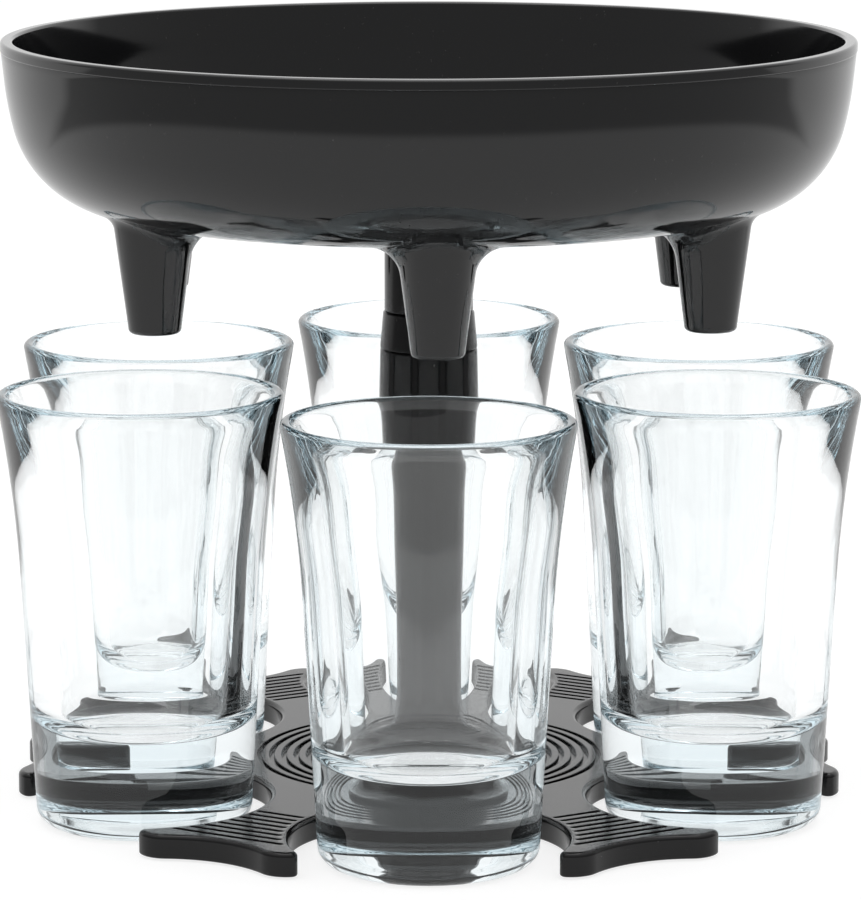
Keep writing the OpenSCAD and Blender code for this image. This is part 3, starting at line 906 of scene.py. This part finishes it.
def lip():
    """Edge profile of a groove: the rounded lip, the wall, a small fillet and the floor."""
    floor = PLATE_TOP - GROOVE_DEEP
    return [*arc((0, PLATE_TOP - GROOVE_LIP), GROOVE_LIP, 90, 0, 3),
            *arc((GROOVE_LIP * 2, floor + GROOVE_LIP), GROOVE_LIP, 180, 270, 3)]


def slot_outline(along, half):
    """A slot across the arm: straight sides and round ends, with directions out of the slot."""
    radius = GROOVE_W / 2 + GROOVE_LIP
    reach = half - GROOVE_W / 2
    return np.concatenate([
        bend((along, reach), radius, 0, 180, 8),
        bend((along, reach), radius, 180, 181, 1),
        bend((along, -reach), radius, 180, 360, 8),
        bend((along, -reach), radius, 0, 1, 1)])


def groove_half(along):
    """Half length of a groove: its end stays GROOVE_MARGIN from the side of the bay."""
    half = math.radians(PLACE_STEP / 2)
    bay_x, bay_y = BAY_RING_R * math.cos(half), BAY_RING_R * math.sin(half)
    return bay_y - math.sqrt((BAY_R + GROOVE_MARGIN) ** 2 - (along - bay_x) ** 2)


def ring_profile():
    """Round grooves and the land between them, from the outermost edge in to the axis."""
    line = []
    for k in range(RING_COUNT):
        middle = RING_R - k * RING_PITCH
        outer, inner = middle + GROOVE_W / 2, middle - GROOVE_W / 2
        floor = PLATE_TOP - GROOVE_DEEP
        line += [*arc((outer + GROOVE_LIP, PLATE_TOP - GROOVE_LIP), GROOVE_LIP, 90, 180, 3),
                 *arc((outer - GROOVE_LIP, floor + GROOVE_LIP), GROOVE_LIP, 0, -90, 3),
                 *arc((inner + GROOVE_LIP, floor + GROOVE_LIP), GROOVE_LIP, 270, 180, 3),
                 *arc((inner - GROOVE_LIP, PLATE_TOP - GROOVE_LIP), GROOVE_LIP, 0, 90, 3)]
    return np.array(line + [(12.0, PLATE_TOP), (0.0, PLATE_TOP)])


# %% Filling a flat skin with holes


def inside_loops(points, loops):
    """Even-odd rule: from inside, a ray along X crosses the loops an odd number of times."""
    crossings = np.zeros(len(points), int)
    for loop in loops:
        start, end = loop, np.roll(loop, -1, 0)
        low = (start[:, 1] > points[:, 1:2]) != (end[:, 1] > points[:, 1:2])
        rise = np.where(end[:, 1] == start[:, 1], 1, end[:, 1] - start[:, 1])
        cross_x = start[:, 0] + (points[:, 1:2] - start[:, 1]) / rise * (end[:, 0] - start[:, 0])
        crossings += (low & (cross_x > points[:, :1])).sum(1)
    return crossings % 2 == 1


def fill_between(loops, height):
    """Triangles between an outer loop and the loops inside it, all in one level plane."""
    plan = np.concatenate(loops)
    edges, first = [], 0
    for loop in loops:
        number = first + np.arange(len(loop))
        edges += np.stack([number, np.roll(number, -1)], 1).tolist()
        first += len(loop)
    found = delaunay_2d_cdt([Vector(p) for p in plan.tolist()], edges, [], 0, 1e-5)
    points = np.array([list(v) for v in found[0]])
    faces = np.array(found[2])
    faces = faces[inside_loops(points[faces].mean(1), loops)]
    return np.column_stack([points, np.full(len(points), height)]).tolist(), faces.tolist()


# %% The whole plate
PLATE_COLUMNS = 192
PAD_ROOM = 0.1
SCREW_RING_R = 5.0
RECESS_R = 2.9
RECESS_DEEP = 1.7
outline = plate_outline()
edge_profile = [(BOTTOM_ROUND, PLATE_Z),
                *arc((BOTTOM_ROUND, PLATE_Z + BOTTOM_ROUND), -BOTTOM_ROUND, 90, 0, 4)[1:],
                *arc((TOP_ROUND, PLATE_TOP - TOP_ROUND), -TOP_ROUND, 0, -90, 8)]
plate_grids = [carried(outline, edge_profile)]
ring_grid = turned(ring_profile(), circle_angles(PLATE_COLUMNS))
plate_grids.append(ring_grid)
top_loops = [plate_grids[0][-1, :, :2], ring_grid[0, :, :2]]
slot_floor = []
for i in range(PLACES):
    for k in range(GROOVE_COUNT):
        along = GROOVE_OUTER - k * GROOVE_PITCH
        slot = slot_outline(along, groove_half(along))
        grid = about_z(carried(slot, lip()), -90 + PLACE_STEP / 2 + i * PLACE_STEP)
        plate_grids.append(grid)
        top_loops.append(grid[0, :, :2])
        slot_floor.append(grid[-1])

recess_columns = circle_angles(48)
bottom_loops = [plate_grids[0][0, :, :2]]
recesses = []
for i in range(PLACES):
    low, high = box_mm(f"foot_pad_{i + 1}")
    recesses.append(((low + high)[:2] / 2, (high[0] - low[0]) / 2 + PAD_ROOM, high[2]))
screw_z = box_mm("base_screws")[0][2]
for i in range(3):
    angle = math.radians(-90 + PLACE_STEP / 2 + i * 120)
    place = SCREW_RING_R * np.array([math.cos(angle), math.sin(angle)])
    recesses.append((place, RECESS_R, screw_z + RECESS_DEEP))
for centre, radius, top in recesses:
    hole = turned([(radius, PLATE_Z), (radius, top), (0, top)], recess_columns, centre)
    plate_grids.append(hole)
    bottom_loops.append(hole[0, :, :2])

fill_points, fill_faces = [], []
for points, faces in (fill_between(top_loops, PLATE_TOP), fill_between(bottom_loops, PLATE_Z),
                      *(fill_between([floor[:, :2]], floor[0, 2]) for floor in slot_floor)):
    fill_faces += [[len(fill_points) + v for v in face] for face in faces]
    fill_points += points
make_piece("star_plate", plate_grids, base_plastic, "base", ["base_plate"],
           fill=(fill_points, fill_faces))

# %% [markdown]
# ## The studio
#
# The photograph is a cut-out on white. Black gloss and clear glass show little of
# themselves: they show the room. For the camera the floor and the room are plain
# white. For rays that a surface mirrors or lets through, only the table round the
# object, the backdrop and the ceiling are bright, and the rest is dim. That draws the
# dark edges of the glasses and the dark band under the rim. Rays bent by glass count
# as glossy too, so the choice for transmission comes after the one for mirrors.

# %% Node helpers for light paths


def larger(tree, *values):
    """The largest of several values, as a chain of Maximum nodes."""
    total = values[0]
    for value in values[1:]:
        node = tree.nodes.new("ShaderNodeMath")
        node.operation = "MAXIMUM"
        tree.links.new(total, node.inputs[0])
        tree.links.new(value, node.inputs[1])
        total = node.outputs[0]
    return total


def times(tree, first, second):
    """Product of a value with another value or a plain number."""
    node = tree.nodes.new("ShaderNodeMath")
    node.operation = "MULTIPLY"
    tree.links.new(first, node.inputs[0])
    if isinstance(second, float):
        node.inputs[1].default_value = second
    else:
        tree.links.new(second, node.inputs[1])
    return node.outputs[0]


def smooth_step(tree, value, low, high, low_value, high_value):
    """A ramp with soft ends."""
    node = ramp_node(tree, low, high, low_value, high_value)
    node.interpolation_type = "SMOOTHSTEP"
    tree.links.new(value, node.inputs["Value"])
    return node.outputs["Result"]


def choose(tree, factor, when_off, when_on):
    """when_off where the factor is 0 and when_on where it is 1; either may be a number."""
    node = tree.nodes.new("ShaderNodeMix")
    tree.links.new(factor, node.inputs["Factor"])
    for key, value in (("A", when_off), ("B", when_on)):
        if isinstance(value, float):
            node.inputs[key].default_value = value
        else:
            tree.links.new(value, node.inputs[key])
    return node.outputs["Result"]


# %% Floor
FLOOR_SIZE = 3.0
FLOOR_ALBEDO = 0.34
FLOOR_GLOW = 0.8
TABLE_EDGE = (0.34, 0.39)
TABLE_BACK = (0.1, 0.25)
TABLE_WIDE = 1.2
MIRRORED = (0.4, 0.85)
SEEN_THROUGH = (0.05, 1.0)


def make_floor():
    """A pale floor that glows for seen rays and keeps the shadow.

    Mirrors and glass see only an oval table, by the distance with X divided by TABLE_WIDE.
    MIRRORED and SEEN_THROUGH each hold the brightness beyond that table and on it.
    """
    mesh = bpy.data.meshes.new("floor")
    corners = [(x * FLOOR_SIZE, y * FLOOR_SIZE, 0) for x, y in ((-1, -1), (1, -1), (1, 1), (-1, 1))]
    mesh.from_pydata(corners, [], [(0, 1, 2, 3)])
    floor = bpy.data.objects.new("floor", mesh)
    bpy.context.scene.collection.objects.link(floor)
    material = bpy.data.materials.new("floor")
    material.use_nodes = True
    tree = material.node_tree
    shader = tree.nodes["Principled BSDF"]
    shader.inputs["Roughness"].default_value = 1.0
    shader.inputs["Specular IOR Level"].default_value = 0.0
    shader.inputs["Emission Color"].default_value = (1, 1, 1, 1)
    place = tree.nodes.new("ShaderNodeTexCoord")
    split = tree.nodes.new("ShaderNodeSeparateXYZ")
    tree.links.new(place.outputs["Object"], split.inputs[0])
    narrowed = add_node(tree, "ShaderNodeMapping", Scale=(1 / TABLE_WIDE, 1.0, 1.0))
    tree.links.new(place.outputs["Object"], narrowed.inputs["Vector"])
    away = tree.nodes.new("ShaderNodeVectorMath")
    away.operation = "LENGTH"
    tree.links.new(narrowed.outputs["Vector"], away.inputs[0])
    path = tree.nodes.new("ShaderNodeLightPath")
    seen = path.outputs["Is Camera Ray"]
    pattern = 1.0
    for ray, (beyond, near) in (("Is Glossy Ray", MIRRORED), ("Is Transmission Ray", SEEN_THROUGH)):
        table = smooth_step(tree, away.outputs["Value"], *TABLE_EDGE, near, beyond)
        back = smooth_step(tree, split.outputs["Y"], *TABLE_BACK, 0.0, near)
        pattern = choose(tree, path.outputs[ray], pattern, larger(tree, table, back))
        seen = larger(tree, seen, path.outputs[ray])
    glow = times(tree, times(tree, pattern, seen), FLOOR_GLOW)
    tree.links.new(times(tree, pattern, FLOOR_ALBEDO), shader.inputs["Base Color"])
    tree.links.new(glow, shader.inputs["Emission Strength"])
    mesh.materials.append(material)
    print("floor", 2 * FLOOR_SIZE, "m wide")


make_floor()

# %% World
SOFT_LIGHT = 0.6
ROOM_MIRRORED = 0.4
ROOM_THROUGH = 0.05
ROOM_ABOVE = 1.0
BACK_BAND = (0.15, 0.55)
ABOVE_BAND = (0.35, 0.75)


def make_world():
    """White for the camera, a bright back and ceiling for mirrors and glass, else soft light."""
    world = bpy.data.worlds.new("studio")
    bpy.context.scene.world = world
    world.use_nodes = True
    tree = world.node_tree
    background = tree.nodes["Background"]
    background.inputs["Color"].default_value = (1, 1, 1, 1)
    place = tree.nodes.new("ShaderNodeTexCoord")
    split = tree.nodes.new("ShaderNodeSeparateXYZ")
    tree.links.new(place.outputs["Generated"], split.inputs[0])
    path = tree.nodes.new("ShaderNodeLightPath")
    through, mirror = path.outputs["Is Transmission Ray"], path.outputs["Is Glossy Ray"]
    dim = choose(tree, through, ROOM_MIRRORED, ROOM_THROUGH)
    behind = smooth_step(tree, split.outputs["Y"], *BACK_BAND, 0.0, 1.0)
    above = smooth_step(tree, split.outputs["Z"], *ABOVE_BAND, 0.0, ROOM_ABOVE)
    room = larger(tree, behind, above, dim)
    plain = choose(tree, larger(tree, mirror, through), SOFT_LIGHT, room)
    strength = larger(tree, path.outputs["Is Camera Ray"], plain)
    tree.links.new(strength, background.inputs["Strength"])
    print("soft light from all round:", SOFT_LIGHT)


make_world()

# %% Lamps


def area_lamp(name, place, aim, size, power):
    """A square soft light aimed at a point, all in metres and watts."""
    lamp = bpy.data.lights.new(name, "AREA")
    lamp.size = size
    lamp.energy = power
    holder = bpy.data.objects.new(name, lamp)
    bpy.context.scene.collection.objects.link(holder)
    holder.location = place
    direction = np.array(aim) - np.array(place)
    holder.rotation_mode = "QUATERNION"
    holder.rotation_quaternion = Vector(direction).to_track_quat("-Z", "Y")


area_lamp("overhead", place=(0, 0.1, 1.3), aim=(0, 0, 0), size=1.1, power=8)
